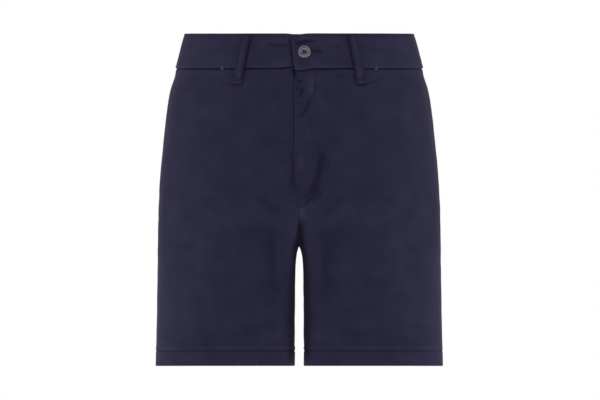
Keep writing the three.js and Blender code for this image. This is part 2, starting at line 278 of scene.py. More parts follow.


# What is kept of a sheet. Its wear value is below 0 where the cloth is darker, from deep dye and painted
# shade, and above it where it is paler, from rubbing and painted light.
def asSheet(z, across, outer, inner, out, along, wearAndPaintedLight, side, centre=None):
    return {
        "z": z, "across": across, "outer": outer, "inner": inner, "out": out,
        "cloth": np.stack([along, np.broadcast_to(z[:, None], across.shape)], -1),
        "wearAndPaintedLight": np.clip(wearAndPaintedLight, -0.45, 0.4), "side": side, "centre": centre,
    }


# The outer surface and its way out at a place given by distance along the cloth and level.
def sheetPoint(sheet, across, z):
    rows = np.interp(-np.asarray(z, float), -sheet["z"], np.arange(len(sheet["z"])))
    low = np.clip(rows.astype(int), 0, len(sheet["z"]) - 2)
    points, normals = [], []
    for r0, row, s in zip(low, rows, across):
        found = []
        for r in (r0, r0 + 1):
            line = sheet["across"][r]
            order = 1 if line[-1] > line[0] else -1
            c = np.interp(s, line[::order], np.arange(len(line))[::order])
            c0 = min(int(c), len(line) - 2)
            t = c - c0
            found.append([sheet[k][r, c0] * (1 - t) + sheet[k][r, c0 + 1] * t for k in ("outer", "out")])
        t = row - r0
        points.append(found[0][0] * (1 - t) + found[1][0] * t)
        normals.append(found[0][1] * (1 - t) + found[1][1] * t)
    return np.array(points), np.array(normals)


# Colours and materials
def toLinear(hexColour):
    parts = [int(hexColour[i : i + 2], 16) / 255 for i in (1, 3, 5)]
    return [p / 12.92 if p <= 0.04045 else ((p + 0.055) / 1.055) ** 2.4 for p in parts] + [1]


def addNode(tree, kind, settings=None, links=None):
    node = tree.nodes.new(kind)
    for key, value in (settings or {}).items():
        if isinstance(key, int) or key in node.inputs:
            node.inputs[key].default_value = value
        else:
            setattr(node, key, value)
    for key, source in (links or {}).items():
        tree.links.new(source, node.inputs[key])
    return node


def newMaterial(name):
    material = bpy.data.materials.new(name)
    material.use_nodes = True
    tree = material.node_tree
    tree.nodes.clear()
    return material, tree


# The Wave texture's scale for bands this many millimetres apart
def waveScale(apart):
    return 2 * math.pi / 20 / (apart * mm)


twillLook = {
    # the darkest colour also serves as painted shade, the palest as painted light
    "deepAndShaded": "#19172D",
    "cloth": "#28263F",
    "wornAndLit": "#3B384F",
    "ribMm": 1.3,  # the real rib is about 0.6 mm; drawn coarser so that it shows
    "slant": 28,
    "yarnMm": 0.9,
    "mottleMm": 34,
    "reliefMm": 0.11,
}


# Cotton twill, woven with a diagonal rib and dyed navy in the piece. The rib breaks the
# light up, the raised yarn ends give a faint bloom at a slant, folds rub paler, and painted
# light and shade are mixed into the colour.
def wovenCottonTwill():
    look = twillLook
    material, tree = newMaterial("Cotton twill, woven and piece dyed navy")
    place = addNode(tree, "ShaderNodeAttribute", {"attribute_name": "clothPlace"}).outputs["Vector"]
    # the per-point wear value, which also holds painted light and shade
    wearAndPaintedLight = addNode(tree, "ShaderNodeAttribute", {"attribute_name": "clothWearAndPaintedLight"}).outputs["Fac"]
    turned = {"Rotation": (0, 0, math.radians(look["slant"]))}
    slant = addNode(tree, "ShaderNodeMapping", turned, {"Vector": place}).outputs["Vector"]
    wave = {"Scale": waveScale(look["ribMm"]), "Distortion": 1.1, "Detail": 2.0, "Detail Scale": 1.6}
    rib = addNode(tree, "ShaderNodeTexWave", wave, {"Vector": slant}).outputs["Fac"]
    stretch = {"Scale": (1, 0.22, 1)}  # yarns run along the cloth
    long = addNode(tree, "ShaderNodeMapping", stretch, {"Vector": place}).outputs["Vector"]
    noise = {"Scale": 1 / (look["yarnMm"] * mm), "Detail": 3.0, "Roughness": 0.6}
    yarn = addNode(tree, "ShaderNodeTexNoise", noise, {"Vector": long}).outputs["Fac"]
    noise = {"Scale": 1 / (look["mottleMm"] * mm), "Detail": 4.0, "Roughness": 0.62}
    mottle = addNode(tree, "ShaderNodeTexNoise", noise, {"Vector": place}).outputs["Fac"]
    add = {"operation": "MULTIPLY_ADD", 1: 0.55}
    height = addNode(tree, "ShaderNodeMath", add, {0: rib, 2: yarn}).outputs[0]
    raised = {"Strength": 0.75, "Distance": look["reliefMm"] * mm}
    bump = addNode(tree, "ShaderNodeBump", raised, {"Height": height}).outputs["Normal"]
    shade = wearAndPaintedLight
    for share, source in ((0.62, mottle), (0.16, rib), (0.18, yarn)):
        add = {"operation": "MULTIPLY_ADD", 1: share}
        shade = addNode(tree, "ShaderNodeMath", add, {0: source, 2: shade}).outputs[0]
    # the ramp runs from a dark end for deep dye and painted shade, through the cloth's colour, to a pale
    # end for wear and painted light
    ramp = addNode(tree, "ShaderNodeValToRGB", {}, {"Fac": shade})
    ramp.color_ramp.elements[0].position = 0.0
    ramp.color_ramp.elements[0].color = toLinear(look["deepAndShaded"])
    ramp.color_ramp.elements[1].position = 1.0
    ramp.color_ramp.elements[1].color = toLinear(look["wornAndLit"])
    ramp.color_ramp.elements.new(0.42).color = toLinear(look["cloth"])
    shader = addNode(
        tree,
        "ShaderNodeBsdfPrincipled",
        {
            "Roughness": 0.88,
            "IOR": 1.5,
            "Specular IOR Level": 0.14,
            "Sheen Weight": 0.1,
            "Sheen Roughness": 0.35,
            "Sheen Tint": toLinear("#CBC7CF"),
        },
        {"Base Color": ramp.outputs["Color"], "Normal": bump},
    )
    addNode(tree, "ShaderNodeOutputMaterial", {}, {"Surface": shader.outputs[0]})
    return material


threadLook = {"name": "dyed", "dark": "#211F35", "light": "#2F2D46", "twistMm": 0.8}
tackLook = {"name": "dyed and rubbed", "dark": "#383650", "light": "#4B4964", "twistMm": 0.8}


# Cotton sewing thread, spun in two plies: matt, a little paler than the cloth.
def spunCottonThread(look):
    material, tree = newMaterial(f"Cotton thread, spun, {look['name']}")
    place = addNode(tree, "ShaderNodeTexCoord").outputs["Object"]
    wave = {"Scale": waveScale(look["twistMm"]), "bands_direction": "DIAGONAL"}
    ply = addNode(tree, "ShaderNodeTexWave", wave, {"Vector": place}).outputs["Fac"]
    mix = {"data_type": "RGBA", 6: toLinear(look["dark"]), 7: toLinear(look["light"])}
    colour = addNode(tree, "ShaderNodeMix", mix, {0: ply}).outputs[2]
    bump = addNode(tree, "ShaderNodeBump", {"Strength": 0.5, "Distance": 0.08 * mm}, {"Height": ply})
    shader = addNode(
        tree,
        "ShaderNodeBsdfPrincipled",
        {"Roughness": 0.72, "IOR": 1.5, "Specular IOR Level": 0.2, "Sheen Weight": 0.05},
        {"Base Color": colour, "Normal": bump.outputs["Normal"]},
    )
    addNode(tree, "ShaderNodeOutputMaterial", {}, {"Surface": shader.outputs[0]})
    return material


resinLook = {"dark": "#4A4856", "light": "#6E6C7C", "cloudMm": 5, "scratchMm": 0.5}


# Polyester resin button, cast in a slab, turned and polished: clouded, with a soft gloss.
def castResin():
    material, tree = newMaterial("Polyester resin, cast and polished")
    place = addNode(tree, "ShaderNodeTexCoord").outputs["Object"]
    noise = {"Scale": 1 / (resinLook["cloudMm"] * mm), "Detail": 3.0, "Distortion": 0.8}
    cloud = addNode(tree, "ShaderNodeTexNoise", noise, {"Vector": place}).outputs["Fac"]
    ramp = addNode(tree, "ShaderNodeValToRGB", {}, {"Fac": cloud})
    ramp.color_ramp.elements[0].position = 0.3
    ramp.color_ramp.elements[0].color = toLinear(resinLook["dark"])
    ramp.color_ramp.elements[1].position = 0.72
    ramp.color_ramp.elements[1].color = toLinear(resinLook["light"])
    noise = {"Scale": 1 / (resinLook["scratchMm"] * mm), "Detail": 2.0}
    scratch = addNode(tree, "ShaderNodeTexNoise", noise, {"Vector": place}).outputs["Fac"]
    bump = addNode(tree, "ShaderNodeBump", {"Strength": 0.12, "Distance": 0.02 * mm}, {"Height": scratch})
    shader = addNode(
        tree,
        "ShaderNodeBsdfPrincipled",
        {"Roughness": 0.26, "IOR": 1.54, "Coat Weight": 0.45, "Coat Roughness": 0.12},
        {"Base Color": ramp.outputs["Color"], "Normal": bump.outputs["Normal"]},
    )
    addNode(tree, "ShaderNodeOutputMaterial", {}, {"Surface": shader.outputs[0]})
    return material


twill = wovenCottonTwill()
thread = spunCottonThread(threadLook)
tackThread = spunCottonThread(tackLook)
resin = castResin()
print("materials made")


# Belt loops
loop = {
    "width": 12.6,
    "wall": 1.6,
    "foldWall": 3.0,
    "standOff": 3.4,
    "top": 20.5,
    "bottom": -44.5,
    "lowEnd": 7.5,
    "topEnd": 5.2,
    "rise": 9,
    "stitchIn": 2.2,
    "pitch": 3.2,
    "rows": 110,
    "columns": 22,
}
# name, face, distance from the centre line at the top and the bottom, side
beltLoops = [
    ("belt_loop_front_left", "front", 70.2, 82.4, 1),
    ("belt_loop_front_right", "front", 70.2, 82.4, -1),
    ("belt_loop_side_left", "back", 116, 124, 1),
    ("belt_loop_side_right", "back", 116, 124, -1),
    ("belt_loop_back", "back", 0, 0, 1),
]


# Painted shade: the cloth under a loop and just below its lower end is darkened as the loop's shadow.
def paintedShadeByLoops(face, seenX, z):
    low, high = loop["bottom"], loop["top"]
    loopShade = np.zeros(np.broadcast(seenX, z).shape)
    for _, where, top, bottom, side in beltLoops:
        if where != face:
            continue
        middle = bottom + (top - bottom) * (z - low) / (high - low)
        inside = loop["width"] / 2 + 1.0 - np.abs(seenX * side - middle)
        reach = smooth((z - low + 2.6) / 1.2) * smooth((high - 1 - z) / 3)
        loopShade += 0.3 * smooth(inside / 1.4) * reach
    return loopShade


# Panels
panel = {
    "wall": 1.1,
    "hemWall": 3.0,
    "strip": 0.25,  # the strip beside the centre seam or inseam, over half the width
    "stripColumns": 58,
    "outerColumns": 92,
    "tuck": 1.1,  # the cloth goes up this far into the band
    "ditch": 1.9,  # and sinks this far under the band's lower edge
    "ditchWidth": 1.8,
    "seamDip": 1.1,
    "seamWidth": 1.5,
    "pucker": 0.26,
    "wave": 0.23,
    "meet": 0.2,  # above the crotch the halves pass the centre line by this much
    "waveLengths": (24, 60),
    "frontCut": ((0.305, 0.44), 0.118),  # metres, square metres
    "backCut": ((0.325, 0.44), 0.124),
}
fly = {
    "lap": 6,
    "lapTop": -176,
    "lapEnd": -193,
    "radius": 38,
    "stitchAt": 37.4,  # the J-shaped stitching's distance from the centre line
    "turn": -171,
    "ease": 15,
    "lowEase": 10,  # the ply ends more sharply at its round end
    "raise": 1.6,
    "shieldWidth": 29,
    "behind": 3.4,  # the shield lies this far behind the front's face
}

# How much each millimetre of relief changes the cloth's colour: ridges rub paler as wear, and troughs get
# painted shade
reliefWearAndShade = {"crease": 0.2, "seam": 0.16, "pucker": 0.25, "hem": 0.2, "fold": 0.022}

# Creases on the fronts, seen from the front: x, level to x, level, bend, width, depth, lip.
frontCreases = [
    (12.5, -28, 16, -66, 1.8, 4.8, 1.4, 0),
    (20.5, -40, 17, -68, 0.5, 2.3, -0.8, 0),
    (17.6, -58, 1, -93, 1.4, 2.3, -1.2, 0.2),
    (7, -48, 1, -62, 0, 1.6, -1.3, 0.4),
    (9, -30, 3, -36, 0.4, 1.3, -0.7, 0.3),
    (4, -40, -2, -43, 0, 1.3, -0.8, 0.3),
    (22, -52, 25, -78, 1, 3.4, 0.5, 0),
    (22, -34, 30, -44, 0, 2.2, 0.7, 0),
    (12, -102, 13, -124, 0, 4.2, 0.7, 0),
    (23, -104, 24, -116, 0, 3.6, 0.5, 0),
    (2, -138, 3, -160, 0, 3.6, 0.9, 0),
    (31, -126, 11.5, -208, 3.9, 6.2, -2.1, 0),
    (14, -190, 5, -197, 0.6, 1.7, -0.9, 0.4),
    (16, -198, 8, -207, 0.5, 1.6, -0.9, 0.5),
    (2, -212, 5, -226, 0, 4.2, 1.8, 0),
    (3, -228, 1, -262, 0, 5.0, -2.0, 0),
    (-8.5, -122, -8, -194, 0, 4.0, -0.8, 0),
    (-7.2, -25, -5, -37, 0, 2.6, -3.0, 0),
    (-113, -36, -70, -47, -2.0, 2.2, -0.9, 0.25),
    (113, -36, 70, -47, 2.0, 2.2, -0.9, 0.25),
    (-96, -32, -64, -35, 0, 2.0, -0.4, 0.2),
    (-52, -30, -26, -33, 0, 2.4, -0.5, 0.2),
    (44, -31, 66, -34, 0, 2.4, -0.4, 0.2),
    (-140, -176, -96, -214, -9, 7, -0.7, 0.3),
    (142, -170, 100, -210, 8, 7, -0.6, 0.3),
    (-60, -186, -20, -222, -4, 6, -0.9, 0.3),
    (62, -190, 26, -224, 5, 6, -0.8, 0.3),
    (-57, -222, -27, -344, 7, 16, -0.8, 0.2),
    (58, -226, 27, -348, -7, 16, -0.8, 0.2),
    (-30, -246, -28, -320, 0, 4.6, 0.9, 0),
    (28, -250, 27, -318, 0, 4.6, 0.8, 0),
    (-172, -262, -120, -276, 4, 6, -0.6, 0.3),
    (-150, -300, -84, -296, -4, 7, -0.6, 0.3),
    (-166, -336, -112, -346, 3, 6, -0.5, 0.2),
    (-104, -340, -52, -334, 3, 7, -0.5, 0.2),
    (-80, -372, -30, -366, -3, 6, -0.5, 0.2),
    (-150, -378, -104, -384, 2, 6, -0.4, 0.2),
    (112, -280, 172, -268, 5, 6, -0.6, 0.3),
    (76, -306, 138, -314, -4, 7, -0.5, 0.3),
    (108, -342, 164, -334, 4, 6, -0.5, 0.2),
    (40, -346, 92, -352, -3, 7, -0.5, 0.2),
    (60, -384, 118, -378, 2, 6, -0.5, 0.2),
    (140, -372, 182, -378, 3, 5, -0.4, 0.2),
]
# On the backs, along the same axes
backCreases = [
    (-30, -30, -90, -38, 2, 3, -0.6, 0.2),
    (34, -31, 86, -40, -3, 3, -0.6, 0.2),
    (-4, -196, -66, -228, 8, 8, -2.0, 0.7),
    (4, -202, 70, -236, -9, 8, -2.2, 0.7),
    (-18, -222, -78, -262, 10, 7, -1.6, 0.6),
    (16, -226, 74, -268, -8, 7, -1.4, 0.5),
    (-110, -150, -160, -196, 8, 9, -1.0, 0.3),
    (106, -156, 158, -190, -6, 9, -0.9, 0.3),
    (-60, -264, -44, -340, -5, 8, -1.1, 0.4),
    (54, -270, 42, -336, 6, 8, -1.2, 0.4),
    (-160, -280, -104, -290, 4, 7, -0.6, 0.3),
    (100, -284, 166, -276, 5, 7, -0.7, 0.3),
    (-130, -322, -70, -330, -4, 7, -0.6, 0.2),
    (74, -320, 128, -332, 4, 7, -0.6, 0.2),
    (-164, -356, -112, -350, 3, 6, -0.5, 0.2),
    (104, -362, 160, -354, -3, 6, -0.5, 0.2),
    (-84, -382, -34, -376, 3, 6, -0.5, 0.2),
    (38, -374, 88, -384, -3, 6, -0.5, 0.2),
    (0, -60, -40, -84, 4, 6, -0.5, 0.2),
    (2, -66, 44, -92, -4, 6, -0.6, 0.2),
]
# Round the side seams: distance from the seam (front positive), level, and so on
sideCreases = [
    (-34, -128, 26, -142, 4, 7, -0.7, 0.3),
    (-22, -186, 40, -204, -5, 8, -0.9, 0.3),
    (-46, -236, 18, -226, 5, 7, -0.7, 0.3),
    (-20, -282, 44, -296, 4, 7, -0.8, 0.3),
    (-50, -318, 8, -310, -4, 6, -0.6, 0.2),
    (-28, -352, 34, -364, 4, 7, -0.7, 0.3),
    (-40, -388, 14, -382, -3, 5, -0.5, 0.2),
]


# Lines along the hem: distance above the fold's edge, width, height
hemLines = [(3.8, 1.7, 0.7), (0.6, 1.0, -0.95), (9.6, 1.3, -0.25)]


def panelLevels():
    top = -form["bandHalf"] + panel["tuck"]
    hem = form["hem"]
    crotch = form["crotch"]
    return np.concatenate([
        np.linspace(top, -31, 15)[:-1],
        np.linspace(-31, crotch + 4, 116)[:-1],
        crotch + 4 * np.linspace(1, 0, 9)[:-1] ** 1.5,
        crotch - 4 * np.linspace(0, 1, 7)[:-1] ** 1.5,
        np.linspace(crotch - 4, -392, 64)[:-1],
        np.linspace(-392, hem + 2.4, 32)[:-1],
        hem + 2.4 * np.linspace(1, 0, 9) ** 1.6,
    ])


# The waist seam rises on the right towards the fly's lap and sinks a little under it.
def seamRise(seenX, z, side):
    near = hump(z + form["bandHalf"], 13)
    if side < 0:
        return 2.3 * smooth((seenX + 32) / 25) * near
    return -2.5 * smooth((20 - seenX) / 17) * near


def flyEdge(z):
    end, top = fly["lapEnd"], fly["lapTop"]
    meet = panel["meet"]
    return -meet - (fly["lap"] - meet) * smooth((z - end) / (top - end))


# Distance from the line about which the stitching turns, on both of its straight sides.
def flyAway(across, z):
    side = np.maximum(across, 0)
    return np.where(z > fly["turn"], side, np.hypot(side, fly["turn"] - z))


# How far a rounded edge falls back at this distance in from it.
def roundEdge(distance, radius):
    left = np.clip(1 - distance / radius, 0, 1)
    return radius * (1 - np.sqrt(1 - left**2))


def seamPuckers(z, away, phase):
    wave = np.sin(2 * np.pi * z / 11.3 + phase) + 0.7 * np.sin(2 * np.pi * z / 7.1 + 2.1 * phase)
    return panel["pucker"] * wave * np.exp(-away / 7) * (1 - np.exp(-away / 1.2))


# The lap over the fly: the stitched J, its puckered ply and the cloth drawn in beside it.
def flyRelief(across, z):
    away = flyAway(across, z)
    low = smooth((-132 - z) / 40)
    ease = fly["ease"] + (fly["lowEase"] - fly["ease"]) * low
    lift = fly["raise"] * smooth((fly["radius"] - away) / ease)
    # the stitching's groove and ripples hardly show above the turn
    shows = 0.08 + 0.92 * smooth((-120 - z) / 26)
    groove = shows * (-0.6 * hump(away - fly["stitchAt"], 1.1) + 0.12 * hump(away - 33.8, 2.0))
    bent = fly["turn"] - np.arctan2(fly["turn"] - z, np.maximum(across, 1)) * fly["radius"]
    run = np.where(z > fly["turn"], z, bent)
    ripple = 0.34 * shows * np.sin(2 * np.pi * run / 7.3 + 0.6 * np.sin(run / 9)) * hump(away - 36, 4.2)
    brightEdge = 0.65 * hump(away - 41.3, 1.8) * smooth((-186 - z) / 10) * (across > 0)
    edge = -roundEdge(across - flyEdge(z), 0.9)
    puckers = 0
    for level, tilt, depth in flyPuckers:
        puckers = puckers - depth * hump(z - level + tilt * across, 1.7) * hump(across + 2, 6.5)
    return lift + groove + ripple + brightEdge + edge, puckers


# Short puckers of the fly's edge: level, slope, depth
flyPuckers = [
    (-28.5, 0.15, 0.6),
    (-36, 0.5, 0.5), (-41, 0.2, 0.75), (-49, 0.7, 0.55), (-53, 0.4, 0.8), (-61, 0.1, 0.45),
    (-70, 0.6, 0.6), (-76, 0.3, 0.3), (-88, 0.1, 0.4), (-94, 0.5, 0.25), (-111, 0.2, 0.3),
    (-119, 0.6, 0.2), (-141, 0.1, 0.3), (-149, 0.5, 0.2), (-167, 0.3, 0.25), (-186, 0.5, 0.5),
]


def panelSheet(face, side, lapped):
    z = panelLevels()
    x, _, at = arcsAt(face, z)
    start = -panel["meet"] * smooth((z - form["crotch"] + 0.5) / 1.5)
    if lapped:
        start = np.where(z > fly["lapEnd"], flyEdge(z), start)
    strip = np.array([np.interp(panel["strip"] * w, x[r], at[r]) for r, w in enumerate(sizeAt(z, 1))])
    end = at[:, -1]
    # the columns close up at the seams, where the cloth rolls in
    inStrip = np.linspace(0, 1, panel["stripColumns"]) ** 1.18
    outside = 1 - np.linspace(1, 0, panel["outerColumns"]) ** 1.25
    across = np.concatenate([
        start[:, None] + (strip - start)[:, None] * inStrip,
        strip[:, None] + (end - strip)[:, None] * outside[1:],
    ], axis=1)
    base, fromSide = clothGrid(face, across, z)
    out = panelNormals(face, across, z)
    zz = np.broadcast_to(z[:, None], across.shape)
    seenX = base[:, :, 0] * side
    if face == "front":
        base[:, :, 2] += seamRise(seenX, zz, side)
    # at the centre seam the two halves stay together, so the cloth only moves in their plane
    apart = 1 - smooth(1 - np.abs(across) / 14) * smooth((zz - form["crotch"]) / 5)
    out[:, :, 0] *= apart
    out /= np.linalg.norm(out, axis=2, keepdims=True)

    sign = 1 if face == "front" else -1
    foldsHere = np.array([foldAt(face, fromSide[r], z[r]) for r in range(len(z))])
    creases = creaseField(seenX, zz, frontCreases if face == "front" else backCreases)
    if face == "front":
        creases = creases * (1 - 0.4 * smooth((np.abs(seenX) - 30) / 20) * smooth((-150 - zz) / 30))
    creases = creases + 0.25 * creaseField(sign * fromSide, zz, sideCreases)
    # the waves die out at the band and at the seams
    waves = softWaves(seenX, zz, panel["waveLengths"], panel["wave"], 14)
    waves = waves * smooth((-27 - zz) / 20) * (1 - 0.85 * hump(across, 5)) * (1 - 0.7 * hump(fromSide, 16))

    # the cloth sinks under the band's edge, less so at the side seams and the lap
    fromTop = np.maximum(-form["bandHalf"] - zz, 0)
    ditch = -panel["ditch"] * hump(fromTop, panel["ditchWidth"]) + 0.35 * hump(fromTop - 5, 2.4)
    ditch = ditch * (1 - 0.45 * hump(fromSide, 48))
    if lapped:
        ditch = ditch * (1 - 0.5 * hump(across - 12, 8))
    # the side seam, then the centre seam below the lap, which goes on as the inseam
    seams = -panel["seamDip"] * hump(fromSide, panel["seamWidth"])
    puckers = 0.12 * seamPuckers(zz, fromSide, 0.4 + side)
    belowLap = smooth((fly["lapEnd"] + 2 - zz) / 4) if face == "front" else np.ones_like(zz)
    dip = panel["seamDip"] * (0.4 - 0.25 * smooth((zz + 226) / 10) if face == "front" else 0.8)
    seams = seams - dip * hump(across, panel["seamWidth"]) * belowLap
    inseam = 1 - 0.5 * smooth((form["crotch"] - zz) / 12)
    puckers = puckers + inseam * seamPuckers(zz, np.abs(across), 1.7 * side) * belowLap

    # the hem, with a slight roping of its fold, calmer at the seams
    hemUp = zz - form["hemTop"]
    hemRope = 0.11 * np.sin(2 * np.pi * (across + 0.5 * zz) / 12.5 + 2.4 * np.sin(across / 17))
    hem = sum(height * hump(hemUp - up, width) for up, width, height in hemLines)
    hem = hem + hemRope * smooth(-hemUp / 3) * smooth((zz - form["hem"]) / 3)
    hem = hem + 0.3 * smooth(-hemUp / 2)
    hem = hem * (1 - 0.65 * hump(fromSide, 14)) * (1 - 0.65 * hump(across, 12))
    rolled = roundEdge(zz - form["hem"], 1.5)

    # the cloth lies still where the four seams meet
    calm = 1 - hump(np.hypot(across, zz - form["crotch"]), 8)
    relief = (creases + waves + seams + puckers) * calm + ditch + hem - rolled
    # painted light: paler at the inner legs, the sides of the thighs and the crotch, lifting the shade
    # between the legs and brightening the thigh sides
    paintedLegLight = 0.17 * smooth((24 - across) / 18) * smooth((form["crotch"] + 24 - zz) / 20)
    paintedLegLight = paintedLegLight + 0.14 * hump(fromSide, 30) * smooth((-220 - zz) / 80)
    paintedLegLight = paintedLegLight + 0.3 * hump(across, 12) * hump(zz - form["crotch"] - 8, 20)
    # ridges rub paler, and the troughs of creases, seams, puckers, hem and folds get painted shade
    wearAndPaintedLight = reliefWearAndShade["crease"] * creases + reliefWearAndShade["seam"] * ditch + reliefWearAndShade["seam"] * seams
    wearAndPaintedLight = wearAndPaintedLight + reliefWearAndShade["pucker"] * puckers + reliefWearAndShade["hem"] * hem + reliefWearAndShade["fold"] * foldsHere
    wearAndPaintedLight = wearAndPaintedLight + paintedLegLight - paintedShadeByLoops(face, seenX, zz) - 0.06 * smooth(-hemUp / 2)
    if face == "front" and not lapped:
        # a thin trough beside the lap's edge, with painted shadow darkening the cloth there
        lapEdgeShadow = hump(seenX + fly["lap"] + 0.9, 1.0) * (0.3 + 0.7 * smooth((zz + 132) / 14))
        lapEdgeShadow = lapEdgeShadow * smooth((zz - fly["lapTop"]) / 10)
        relief = relief - 0.3 * lapEdgeShadow
        wearAndPaintedLight = wearAndPaintedLight - 0.24 * lapEdgeShadow
    if lapped:
        # painted highlight: a pale line along the lap's edge
        wearAndPaintedLight = wearAndPaintedLight + 0.1 * hump(across - flyEdge(zz) - 1.3, 0.9) * smooth((zz - fly["lapTop"]) / 10)
        # the lap itself; its puckers get painted shade and its low raised edge a painted highlight
        lap, flyPucker = flyRelief(across, zz)
        relief = relief + lap + 1.35 * flyPucker
        wearAndPaintedLight = wearAndPaintedLight + 0.4 * flyPucker + 0.12 * hump(flyAway(across, zz) - 41.3, 2) * (zz < -186)
    wall = panel["wall"] + (panel["hemWall"] - panel["wall"]) * smooth(-hemUp / 0.9)
    outer = base + out * relief[:, :, None]
    inner = outer - out * np.maximum(wall - rolled, 0.05)[:, :, None]
    along = np.where(face == "front", -fromSide, fromSide)
    return asSheet(z, across, outer, inner, out, along, wearAndPaintedLight, side)


clothPieces = []
sheets = {}


# The cloth of one node, mirrored where it lies on the right
def makeCloth(node, sheet, flat, area, restsOn):
    for key in ("outer", "inner", "out"):
        sheet[key] = sheet[key] * np.array([sheet["side"], 1, 1])
    sheets[node] = sheet
    piece = shellMesh(f"cloth_{node}", sheet)
    piece.data.materials.append(twill)
    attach(piece, "root")
    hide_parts(node)
    clothPieces.append((piece, flat, area, restsOn, []))


for hand, side in (("left", 1), ("right", -1)):
    for face in ("front", "back"):
        sheet = panelSheet(face, side, face == "front" and side > 0)
        makeCloth(f"{face}_panel_{hand}", sheet, *panel[face + "Cut"], [f"waistband_{hand}"])
print("panels made")


# Waistband
band = {
    "wall": 2.8,
    "proud": 0.7,
    "lapTop": 11.5,
    "lapBottom": 6,
    "underlap": 26,
    "raise": 3.3,
    "raiseEnd": 28,
    "ease": 24,
    "round": 1.3,
    "sag": 1.7,
    "columns": 320,
    "stitchDown": 3.6,  # the edge stitching lies this far below the top edge
    "cutLength": {"left": 0.49, "right": 0.505},  # metres
}
bandCreases = {
    1: [
        (-6, 9.5, 22, 12.2, 1.6, 2.2, -2.2, 0.5),
        (18, 5, 30, -3, 1.5, 2.0, -0.9, 0.3),
        (36, 7, 58, 5, 0.5, 2.6, -0.6, 0.25),
        (10, -13, 30, -17, 0, 3.0, 0.5, 0),
        (-2, -10, 10, -20, 0, 2.2, -0.5, 0.2),
        (88, 4, 132, -2, 1, 4, -0.35, 0.2),
        (92, -17, 93, -23, 0, 1.1, -1.0, 0),
    ],
    -1: [
        (-46, 9, -11, 7.4, -0.6, 2.4, -1.2, 0.4),
        (-60, 1, -34, 3, 0, 2.6, -0.5, 0.2),
        (-44, -14, -18, -17, 0, 2.8, 0.5, 0),
        (-128, 2, -92, 5, -1, 4, -0.35, 0.2),
        (-90, -17, -91, -23, 0, 1.1, -1.0, 0),
    ],
}


def lapReach(z):
    return band["lapBottom"] + (band["lapTop"] - band["lapBottom"]) * (z / form["bandHalf"] + 1) / 2


buttonhole = {"eye": (14.0, 0.3), "tip": (27.5, -2.4), "eyeRadius": 2.1, "slit": 0.5}


# Distance from the buttonhole's slit and round eye.
def holeDistance(x, z):
    ex, ez = buttonhole["eye"]
    tx, tz = buttonhole["tip"]
    size2 = (tx - ex) ** 2 + (tz - ez) ** 2
    t = np.clip(((x - ex) * (tx - ex) + (z - ez) * (tz - ez)) / size2, 0, 1)
    slit = np.hypot(x - ex - t * (tx - ex), z - ez - t * (tz - ez)) - buttonhole["slit"]
    return np.minimum(slit, np.hypot(x - ex, z - ez) - buttonhole["eyeRadius"])


def bandLevels():
    full = form["bandHalf"]
    edge = full - 2.2 * np.linspace(0, 1, 7) ** 1.5
    return np.concatenate([edge, np.linspace(full - 2.2, 2.2 - full, 30)[1:-1], -edge[::-1]])


